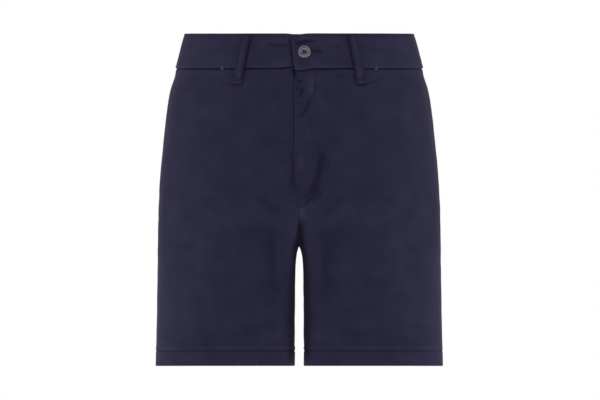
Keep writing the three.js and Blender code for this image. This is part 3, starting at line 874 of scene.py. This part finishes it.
def bandSheet(side, lapped):
    z = bandLevels()
    full = form["bandHalf"]
    back = arcsAt("back", z)[2][:, -1]
    front = arcsAt("front", z)[2][:, -1]
    centre = back + front
    reach = np.full(len(z), float(band["underlap"]))
    if lapped:
        reach = lapReach(z)
    share = np.linspace(0, 1, band["columns"])
    share = share + 0.06 * np.sin(np.pi * share) * share  # closer columns at the front end
    round_ = -panel["meet"] + (centre + reach + panel["meet"])[:, None] * share
    onBack, _ = clothGrid("back", np.minimum(round_, back[:, None]), z)
    onFront, _ = clothGrid("front", np.minimum(centre[:, None] - round_, front[:, None]), z)
    atBack = (round_ < back[:, None])[:, :, None]
    base = np.where(atBack, onBack, onFront)
    out = gridNormals(base, True)
    zz = np.broadcast_to(z[:, None], round_.shape)
    seenX = base[:, :, 0] * side
    atFront = 1 - atBack[:, :, 0]
    lift = 0
    if lapped:
        fromEnd = round_ - centre[:, None] + band["raiseEnd"] + band["ease"]
        lift = band["raise"] * smooth(fromEnd / band["ease"])
        base[:, :, 2] -= lift * out[:, :, 2]
    creases = creaseField(seenX, zz, bandCreases[side]) * atFront
    waves = softWaves(round_, zz, (34, 90), 0.22, 10) + softWaves(round_, zz * 0.3, (9, 16), 0.05, 6)
    fromTop, fromLow = full - zz, zz + full
    # the edge stitching's groove, the rolled edges and the centre back seam
    stitched = -0.42 * hump(fromTop - band["stitchDown"], 0.9) + 0.2 * hump(fromTop - 1.9, 1.0)
    lowRoll = 0.3 * hump(fromLow - 2.2, 1.8)
    rolled = roundEdge(fromTop, band["round"]) + roundEdge(fromLow, band["round"])
    endAway = (centre + reach)[:, None] - round_
    rolled = rolled + roundEdge(endAway, band["round"])
    seam = -0.8 * hump(round_, 1.4)
    relief = band["proud"] + lift + creases + waves + stitched + lowRoll + seam
    # raised rolls rub paler, and the stitching groove, crease troughs and seam dip get painted shade
    wearAndPaintedLight = 0.22 * creases + 0.35 * stitched + 0.3 * lowRoll + 0.2 * seam
    wearAndPaintedLight = wearAndPaintedLight + 0.12 * hump(fromTop, 1.2) + 0.08 * hump(endAway, 1.4)
    # the band is a little paler overall, and painted shade darkens it round its sides, where the side
    # lights fall strongly
    wearAndPaintedLight = wearAndPaintedLight + 0.09 - 0.3 * hump(round_ - back[:, None], 38)
    if lapped:
        # the buttonhole, its slit painted darker as shade
        hole = holeDistance(seenX, zz)
        cut = smooth((1.0 - hole) / 1.4) * atFront
        relief = relief - 1.0 * cut + 0.25 * hump(hole - 2.2, 1.3) * atFront
        wearAndPaintedLight = wearAndPaintedLight - 0.14 * cut
    else:
        # the other half is pressed in along the lap's end, and painted shadow darkens it there
        lapEdgeShadow = hump(seenX + lapReach(zz) + 1.8, 2.1) * smooth((17 - zz) / 4) * atFront
        relief = relief - 0.9 * lapEdgeShadow
        wearAndPaintedLight = wearAndPaintedLight - 0.42 * lapEdgeShadow
    # painted shade under and below the loops
    wearAndPaintedLight = wearAndPaintedLight - paintedShadeByLoops("front", seenX, zz) * atFront
    wearAndPaintedLight = wearAndPaintedLight - paintedShadeByLoops("back", seenX, zz) * (1 - atFront)
    # the lap drags the band's top edge down a little
    sag = band["sag"] * hump(seenX + 3, 9) * atFront * smooth((zz + 6) / (full + 6))
    base[:, :, 2] += seamRise(seenX, zz, side) * atFront - sag
    outer = base + out * (relief - rolled)[:, :, None]
    inner = base + out * (band["proud"] + lift + creases - band["wall"] + rolled)[:, :, None]
    return asSheet(z, round_, outer, inner, out, round_, wearAndPaintedLight, side, centre)


for hand, side in (("left", 1), ("right", -1)):
    flat = (band["cutLength"][hand], 0.049)
    makeCloth(f"waistband_{hand}", bandSheet(side, side > 0), flat, 0.0238, [])


def shieldSheet():
    z = -23.8 - np.arange(0, 171, 1.9)
    down = np.maximum(fly["turn"] - z, 0)
    width = np.sqrt(fly["shieldWidth"] ** 2 - down**2)
    across = form["seamGap"] / 2 + (width - form["seamGap"] / 2)[:, None] * np.linspace(0, 1, 18)
    base, fromSide = clothGrid("front", across, z)
    out = gridNormals(base, False)
    zz = np.broadcast_to(z[:, None], across.shape)
    relief = -fly["behind"] - roundEdge(width[:, None] - across, 0.5)
    relief = relief + softWaves(across, zz, (30, 60), 0.12, 6)
    outer = base + out * relief[:, :, None]
    inner = outer - out * 1.1
    return asSheet(z, across, outer, inner, out, -fromSide, np.zeros_like(across), 1)


makeCloth("fly_shield", shieldSheet(), (0.03, 0.174), 0.0049, ["waistband_right"])
print("waistband and fly shield made")


# Each belt loop stands off the band between its two folded ends.
def loopSheet(face, top, bottom, side):
    low, high = loop["bottom"], loop["top"]
    z = high - (high - low) * (0.5 - 0.5 * np.cos(np.pi * np.linspace(0, 1, loop["rows"])))
    z = 0.35 * z + 0.65 * np.linspace(high, low, loop["rows"])
    middle = bottom + (top - bottom) * (z - low) / (high - low)
    part = np.sin(np.linspace(-1, 1, loop["columns"]) * np.pi / 2)
    x = middle[:, None] + part * loop["width"] / 2
    across = np.sign(x) * acrossAt(face, np.abs(x), z)
    base, _ = clothGrid(face, across, z)
    out = gridNormals(base, face == "back")
    # flat and thick at both folded ends, thin and away from the band between them
    up = smooth((z - low - loop["lowEnd"]) / loop["rise"]) * smooth(
        (high - loop["topEnd"] - z) / loop["rise"]
    )
    zz = np.broadcast_to(z[:, None], x.shape)
    proud = band["proud"] * smooth((z + form["bandHalf"] + 1.4) / 1.4)
    under = proud + form["seamGap"] + loop["standOff"] * up
    thick = loop["foldWall"] + (loop["wall"] - loop["foldWall"]) * up
    off = part * loop["width"] / 2
    fromEdge = loop["width"] / 2 - np.abs(off)
    pits = 0.5 + 0.5 * np.cos(2 * np.pi * zz / loop["pitch"])
    grooves = -(0.1 + 0.6 * pits) * hump(fromEdge - loop["stitchIn"], 0.8)
    body = 0.08 * hump(off, 3.0)
    ripple = 0.1 * np.sin(2 * np.pi * zz / 5.3) * hump(fromEdge - 1.2, 1.2)
    ends = roundEdge(high - zz, 1.1) + roundEdge(zz - low, 1.1)
    tack = 0.35 * hump(zz - low - 3.2, 1.5) - 0.3 * hump(zz - low - 5.6, 0.9)
    fold = -0.35 * hump(zz - low - loop["lowEnd"] - 0.6, 0.9)
    rolled = roundEdge(fromEdge, 0.75) + ends
    relief = grooves + body + ripple + tack + fold
    outer = base + out * ((under + thick)[:, None] + relief - rolled)[:, :, None]
    inner = base + out * (under[:, None] + np.minimum(rolled, 0.5))[:, :, None]
    towardsCentre = off + loop["width"] / 2 if middle[0] > 0 else fromEdge
    # the stitch pits and the fold under the tack get painted shade, and the raised middle and tack painted
    # highlights
    wearAndPaintedLight = 0.02 + 0.9 * grooves + 0.5 * body + 0.9 * tack + 0.3 * fold
    # painted shade along the loop's edge that faces the centre
    wearAndPaintedLight = wearAndPaintedLight - 0.5 * hump(towardsCentre, 1.1)
    off = np.broadcast_to(off, x.shape)
    return asSheet(z, off, outer, inner, out, off + 300 * side, wearAndPaintedLight + 0.04, side)


for name, face, top, bottom, side in beltLoops:
    carrier = "waistband_left" if side > 0 else "waistband_right"
    makeCloth(name, loopSheet(face, top, bottom, side), (0.0135, 0.098), 0.00132, [carrier])
print("belt loops made")


# Stitching
stitch = {"pitch": 3.2, "length": 2.7, "radius": 0.26, "sides": 6, "stray": 0.12}
barTack = {
    "up": 3.2, "width": 10.4, "height": 1.8, "lean": 0.3, "bars": 17, "proud": 0.35, "radius": 0.3,
}


# A short arched thread from each start to its end, as one list of points and faces.
def stitchBodies(starts, ends, outs, radius, arch):
    shape = np.array([0, 0.16, 0.5, 0.84, 1])
    girth = np.array([0.45, 0.9, 1, 0.9, 0.45])
    rise = np.array([-0.9, 0.35, 1, 0.35, -0.9]) * arch
    sides = stitch["sides"]
    turns = np.arange(sides) * 2 * np.pi / sides
    along = ends - starts
    along = along / np.maximum(np.linalg.norm(along, axis=1, keepdims=True), 1e-9)
    outs = outs - along * np.einsum("ij,ij->i", outs, along)[:, None]
    outs = outs / np.linalg.norm(outs, axis=1, keepdims=True)
    cross = np.cross(along, outs)
    middle = starts[:, None] + (ends - starts)[:, None] * shape[:, None]
    middle = middle + outs[:, None] * (rise * radius)[:, None]
    ring = (
        np.cos(turns)[:, None] * outs[:, None, None] + np.sin(turns)[:, None] * cross[:, None, None]
    )
    points = middle[:, :, None] + ring * (girth * radius)[:, None, None]
    count, rings = len(starts), len(shape)
    faces = []
    for n in range(count):
        first = n * rings * sides
        for r in range(rings - 1):
            for k in range(sides):
                a, b = first + r * sides + k, first + r * sides + (k + 1) % sides
                faces.append((a, a + sides, b + sides, b))
        faces.append(tuple(first + k for k in range(sides)))
        faces.append(tuple(first + (rings - 1) * sides + k for k in reversed(range(sides))))
    return points.reshape(-1, 3), faces


# Stitches along a line on a sheet, given by many places along it.
def stitchRow(sheet, across, z, sink=0.05, length=stitch["length"], radius=stitch["radius"]):
    points, outs = sheetPoint(sheet, across, z)
    run = np.r_[0, np.linalg.norm(np.diff(points, axis=0), axis=1).cumsum()]
    begins = np.arange(0.4, run[-1] - length, stitch["pitch"])
    begins = begins + seed.uniform(-stitch["stray"], stitch["stray"], len(begins))

    def at(places, values):
        return np.stack([np.interp(places, run, values[:, k]) for k in range(3)], -1)

    starts, ends, out = at(begins, points), at(begins + length, points), at(begins, outs)
    starts, ends = starts - out * sink, ends - out * sink
    return stitchBodies(starts, ends, out, radius, 0.8)


# The bar tack near a loop's lower end: close, leaning threads in one row across it.
def tackBars(sheet):
    t = barTack
    across = np.linspace(-0.5, 0.5, t["bars"]) * t["width"]
    level = np.full(t["bars"], loop["bottom"] + t["up"])
    half = t["height"] / 2
    first, out = sheetPoint(sheet, across - t["lean"] * half, level + half)
    second, _ = sheetPoint(sheet, across + t["lean"] * half, level - half)
    return stitchBodies(first + out * t["proud"], second + out * t["proud"], out, t["radius"], 1.0)


def threadPiece(name, bodies, goesWith=None):
    points, faces, first = [], [], 0
    for p, f in bodies:
        points.append(p)
        faces += [tuple(i + first for i in face) for face in f]
        first += len(p)
    piece = meshFrom(name, (np.concatenate(points) * mm).tolist(), faces, 80)
    piece.data.materials.append(thread)
    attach(piece, "root")
    for entry in clothPieces:
        if entry[0].name == goesWith:
            entry[4].append(piece.name)
    return piece


def line(first, second, count=60):
    return np.linspace(first, second, count)


for hand in ("left", "right"):
    s = sheets[f"waistband_{hand}"]
    level = form["bandHalf"] - band["stitchDown"]
    reach = np.interp(-level, -s["z"], s["across"][:, -1]) - 4
    rows = [stitchRow(s, line(3, reach, 320), np.full(320, level))]
    if hand == "left":
        endUp = line(level, -form["bandHalf"] + 3, 60)
        endAt = np.interp(-endUp, -s["z"], s["across"][:, -1]) - 3.6
        rows.append(stitchRow(s, endAt, endUp))
    threadPiece(f"thread_band_{hand}", rows, f"cloth_waistband_{hand}")
    for face in ("front", "back"):
        s = sheets[f"{face}_panel_{hand}"]
        level = form["hemTop"] + 0.6
        ends = [np.interp(-level, -s["z"], s["across"][:, k]) for k in (0, -1)]
        rows = [stitchRow(s, line(ends[0] + 2, ends[1] - 2, 260), np.full(260, level))]
        if face == "front" and hand == "left":
            turn, away = fly["turn"], fly["stitchAt"]
            bend = line(0, math.radians(84), 50)
            across = np.r_[np.full(60, away), away * np.cos(bend)]
            down = np.r_[line(-31, turn), turn - away * np.sin(bend)]
            rows.append(stitchRow(s, across, down, sink=0.16))
        threadPiece(f"thread_{face}_{hand}", rows, f"cloth_{face}_panel_{hand}")

for name, face, top, bottom, side in beltLoops:
    s = sheets[name]
    edge = loop["width"] / 2 - loop["stitchIn"]
    rows = []
    for at in (-edge, edge):
        levelsDown = line(loop["top"] - 2, loop["bottom"] + 2, 90)
        rows.append(stitchRow(s, np.full(90, at), levelsDown, length=2.3, radius=0.3))
    rows.append(tackBars(s))
    threadPiece(f"thread_{name}", rows, f"cloth_{name}")


# Small tacks that hold the pockets' upper ends, across the waist seam
tack = {"across": 102.4, "top": -22.0, "bottom": -25.8, "width": 4.2, "bars": 9}


def acrossSeamTack(hand):
    half = tack["width"] / 2
    corners = []
    for edge in (-half, half):
        x = np.array([tack["across"] + edge])
        bandZ, panelZ = np.array([tack["top"]]), np.array([tack["bottom"]])
        above, below = sheets[f"waistband_{hand}"], sheets[f"front_panel_{hand}"]
        centre = np.interp(-bandZ, -above["z"], above["centre"])
        corners.append(sheetPoint(above, centre - acrossAt("front", x, bandZ), bandZ))
        corners.append(sheetPoint(below, acrossAt("front", x, panelZ), panelZ))
    t = np.linspace(0, 1, tack["bars"])[:, None]
    out = corners[0][1] * (1 - t) + corners[1][1] * t
    swell = 0.35 + 0.5 * np.sin(np.pi * t)
    first = corners[0][0] * (1 - t) + corners[1][0] * t + out * swell
    second = corners[2][0] * (1 - t) + corners[3][0] * t + out * swell
    return stitchBodies(first, second, out, 0.36, 1.0)


for hand in ("left", "right"):
    piece = threadPiece(f"thread_tack_{hand}", [acrossSeamTack(hand)], f"cloth_front_panel_{hand}")
    piece.data.materials.clear()
    piece.data.materials.append(tackThread)


# Close satin stitches round the eye and along both sides of the slit.
def buttonholeThreads():
    s = sheets["waistband_left"]
    centre = float(np.interp(0, -s["z"], s["centre"]))
    ex, ez = buttonhole["eye"]
    tx, tz = buttonhole["tip"]
    way = math.atan2(tz - ez, tx - ex)
    size = math.hypot(tx - ex, tz - ez)
    starts, ends = [], []
    inner, outer = 0.5, 2.3
    for sideOf in (1, -1):
        nx, nz = -math.sin(way) * sideOf, math.cos(way) * sideOf
        for k in np.arange(2.4, size, 0.62):
            bx, bz = ex + math.cos(way) * k, ez + math.sin(way) * k
            starts.append((bx + nx * inner, bz + nz * inner))
            ends.append((bx + nx * outer, bz + nz * outer))
    for turn in np.arange(way + 0.5, way + 2 * math.pi - 0.4, 0.24):
        cx, cz = math.cos(turn), math.sin(turn)
        starts.append((ex + cx * 2.0, ez + cz * 2.0))
        ends.append((ex + cx * 3.9, ez + cz * 3.9))
    for turn in np.arange(-0.9, 0.95, 0.3):
        cx, cz = math.cos(way + turn), math.sin(way + turn)
        starts.append((tx + cx * 0.5, tz + cz * 0.5))
        ends.append((tx + cx * 2.2, tz + cz * 2.2))
    starts, ends = np.array(starts), np.array(ends)
    first, out = sheetPoint(s, centre - starts[:, 0], starts[:, 1])
    second, _ = sheetPoint(s, centre - ends[:, 0], ends[:, 1])
    return stitchBodies(first + out * 0.1, second + out * 0.12, out, 0.32, 0.9)


threadPiece("thread_buttonhole", [buttonholeThreads()], "cloth_waistband_left")
print("stitching made")


# Button
button = {
    "radius": 8.65,
    "thickness": 3.0,
    "across": 6.75,
    "level": -2.7,
    "gap": 0.5,
    "hole": 1.0,
    "holeOut": 2.0,
    "steps": 72,
}


def cutCorners(points, times):
    p = np.array(points, float)
    for _ in range(times):
        q = 0.75 * p[:-1] + 0.25 * p[1:]
        r = 0.25 * p[:-1] + 0.75 * p[1:]
        p = np.concatenate([p[:1], np.stack([q, r], 1).reshape(-1, 2), p[-1:]])
    return p


# A solid turned about Z from a profile of radius and height that starts and ends on it.
def turnedMesh(name, profile, steps):
    body = profile[1:-1]
    turns = np.arange(steps) * 2 * np.pi / steps
    points = [(0, 0, profile[0][1])]
    for r, h in body:
        points += [(r * math.cos(t), r * math.sin(t), h) for t in turns]
    points.append((0, 0, profile[-1][1]))
    faces, last = [], len(points) - 1
    for k in range(steps):
        n = (k + 1) % steps
        faces.append((0, 1 + n, 1 + k))
        for r in range(len(body) - 1):
            a, b = 1 + r * steps + k, 1 + r * steps + n
            faces.append((a, b, b + steps, a + steps))
        a, b = 1 + (len(body) - 1) * steps + k, 1 + (len(body) - 1) * steps + n
        faces.append((a, b, last))
    return meshFrom(name, [tuple(c * mm for c in p) for p in points], faces, 40)


def makeButton():
    b = button
    r = b["radius"]
    profile = cutCorners([
        (0, 0), (r - 1.2, 0), (r - 0.25, 0.7), (r, 1.5), (r - 0.4, 2.5), (r - 1.3, b["thickness"]),
        (r - 2.2, 2.8), (r - 3.1, 2.1), (r - 5.2, 1.75), (0, 1.75),
    ], 3)
    body = turnedMesh("button_turned", profile, b["steps"])
    for dx, dy in ((1, 1), (1, -1), (-1, 1), (-1, -1)):
        drill = turnedMesh("drill", np.array([(0, -2), (b["hole"], -2), (b["hole"], 5), (0, 5)]), 20)
        drill.data.transform(Matrix.Translation((dx * b["holeOut"] * mm, dy * b["holeOut"] * mm, 0)))
        cut = body.modifiers.new("hole", "BOOLEAN")
        cut.operation, cut.object, cut.solver = "DIFFERENCE", drill, "EXACT"
        done = bpy.data.meshes.new_from_object(
            body.evaluated_get(bpy.context.evaluated_depsgraph_get())
        )
        body.modifiers.clear()
        body.data = done
        bpy.data.objects.remove(drill)
    body.data.polygons.foreach_set("use_smooth", [True] * len(body.data.polygons))
    body.data.set_sharp_from_angle(angle=math.radians(40))
    return body


across = np.array([[button["across"] - 0.5, button["across"], button["across"] + 0.5]] * 3)
levelsHere = button["level"] + np.array([0.5, 0, -0.5])
spot, _ = clothGrid("front", across, levelsHere)
buttonOut = Vector(gridNormals(spot, False)[1, 1])
standOff = band["proud"] + band["raise"] + button["gap"]
buttonAt = (Vector(spot[1, 1]) + buttonOut * standOff) * mm
turn = buttonOut.to_track_quat("Z", "Y").to_matrix().to_4x4()
buttonPlace = Matrix.Translation(buttonAt) @ turn

buttonPiece = makeButton()
buttonPiece.name = "resin_button"
buttonPiece.data.materials.clear()
buttonPiece.data.materials.append(resin)
buttonPiece.data.transform(buttonPlace)
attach(buttonPiece, "root")
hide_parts("button")

threads = []
for sideOf in (1, -1):
    for shift in (-0.55, 0, 0.55):
        o = button["holeOut"]
        nx, ny = -0.7071 * sideOf * shift, 0.7071 * shift
        starts = np.array([[-o + nx, -o * sideOf + ny, 1.7]])
        ends = np.array([[o + nx, o * sideOf + ny, 1.7]])
        threads.append(stitchBodies(starts, ends, np.array([[0, 0, 1.0]]), 0.42, 1.7))
for turnAt in np.arange(0, 2 * np.pi, 0.45):
    c, s = math.cos(turnAt) * 1.9, math.sin(turnAt) * 1.9
    starts, ends = np.array([[c, s, 0.1]]), np.array([[c * 1.1, s * 1.1, -1.0]])
    threads.append(stitchBodies(starts, ends, np.array([[c, s, 0]]) / 1.9, 0.36, 0.3))
shank = threadPiece("thread_button", threads)
shank.data.transform(buttonPlace)
print("button made")


# Studio: a pale floor that meets a lit white wall far off, all round, and soft boxes
studio = {
    "floorLevel": -0.98,
    "radius": 16.5,
    "wallTop": 3.4,
    "floor": "#F4F4F6",
    "floorShade": "#F1F1F3",
    "wallGlow": 1.0,
    "sky": 0.3,
}


def makeFloor():
    steps = 96
    turns = np.arange(steps) * 2 * np.pi / steps
    rim = [(studio["radius"] * math.cos(t), studio["radius"] * math.sin(t)) for t in turns]
    floor = meshFrom("floor", [(x, y, studio["floorLevel"]) for x, y in rim], [tuple(range(steps))])
    material, tree = newMaterial("Matt white paper, rolled out")
    grain = addNode(tree, "ShaderNodeTexNoise", {"Scale": 3.0, "Detail": 2.0}).outputs["Fac"]
    mix = {"data_type": "RGBA", 6: toLinear(studio["floor"]), 7: toLinear(studio["floorShade"])}
    tint = addNode(tree, "ShaderNodeMix", mix, {0: grain}).outputs[2]
    shader = addNode(tree, "ShaderNodeBsdfPrincipled", {"Roughness": 0.95}, {"Base Color": tint})
    addNode(tree, "ShaderNodeOutputMaterial", {}, {"Surface": shader.outputs[0]})
    floor.data.materials.append(material)

    points = [(x, y, z) for z in (studio["floorLevel"], studio["wallTop"]) for x, y in rim]
    faces = [(k, k + steps, (k + 1) % steps + steps, (k + 1) % steps) for k in range(steps)]
    wall = meshFrom("studio_wall", points, faces)
    material, tree = newMaterial("Matt white paint, evenly lit")
    glow = addNode(tree, "ShaderNodeEmission", {"Strength": studio["wallGlow"]})
    addNode(tree, "ShaderNodeOutputMaterial", {}, {"Surface": glow.outputs[0]})
    wall.data.materials.append(material)


# name, place, target, size, power
softBoxes = [
    ("left box", (1.6, -0.25, -0.9), (0, 0, -0.3), (0.7, 0.7), 17),
    ("right box", (-1.6, -0.25, -0.9), (0, 0, -0.3), (0.7, 0.7), 17),
    ("front box", (0, -4.5, 0.8), (0, 0, -0.2), (2.6, 1.6), 17.5),
    ("back box", (0, 4.5, 0.8), (0, 0, -0.2), (2.6, 1.6), 30),
    ("top box", (0, -1.2, 2.0), (0, 0, -0.2), (1.4, 0.9), 11),
]


def softBox(name, place, target, size, power):
    data = bpy.data.lights.new(name, "AREA")
    data.shape, data.size, data.size_y, data.energy = "RECTANGLE", size[0], size[1], power
    lamp = bpy.data.objects.new(name, data)
    lamp.location = place
    lamp.rotation_euler = (Vector(target) - Vector(place)).to_track_quat("-Z", "Y").to_euler()
    bpy.context.scene.collection.objects.link(lamp)


makeFloor()
world = bpy.data.worlds.new("pale ceiling")
bpy.context.scene.world = world
world.use_nodes = True
world.node_tree.nodes["Background"].inputs["Color"].default_value = (1, 1, 1, 1)
world.node_tree.nodes["Background"].inputs["Strength"].default_value = studio["sky"]
for row in softBoxes:
    softBox(*row)
bpy.context.scene.view_settings.view_transform = "Standard"

# Camera: level, far off, square to the front
shot = {"widthMm": 810, "x": 0.95, "z": -201.15, "distance": 10.0, "sensor": 36}
cameraData = bpy.data.cameras.new("camera")
cameraData.sensor_width = shot["sensor"]
cameraData.lens = shot["sensor"] * shot["distance"] / (shot["widthMm"] * mm)
cameraData.clip_end = 200
camera = bpy.data.objects.new("camera", cameraData)
camera.location = (shot["x"] * mm, -shot["distance"], shot["z"] * mm)
camera.rotation_euler = (math.radians(90), 0, 0)
bpy.context.scene.collection.objects.link(camera)
bpy.context.scene.camera = camera
print("studio and camera made")
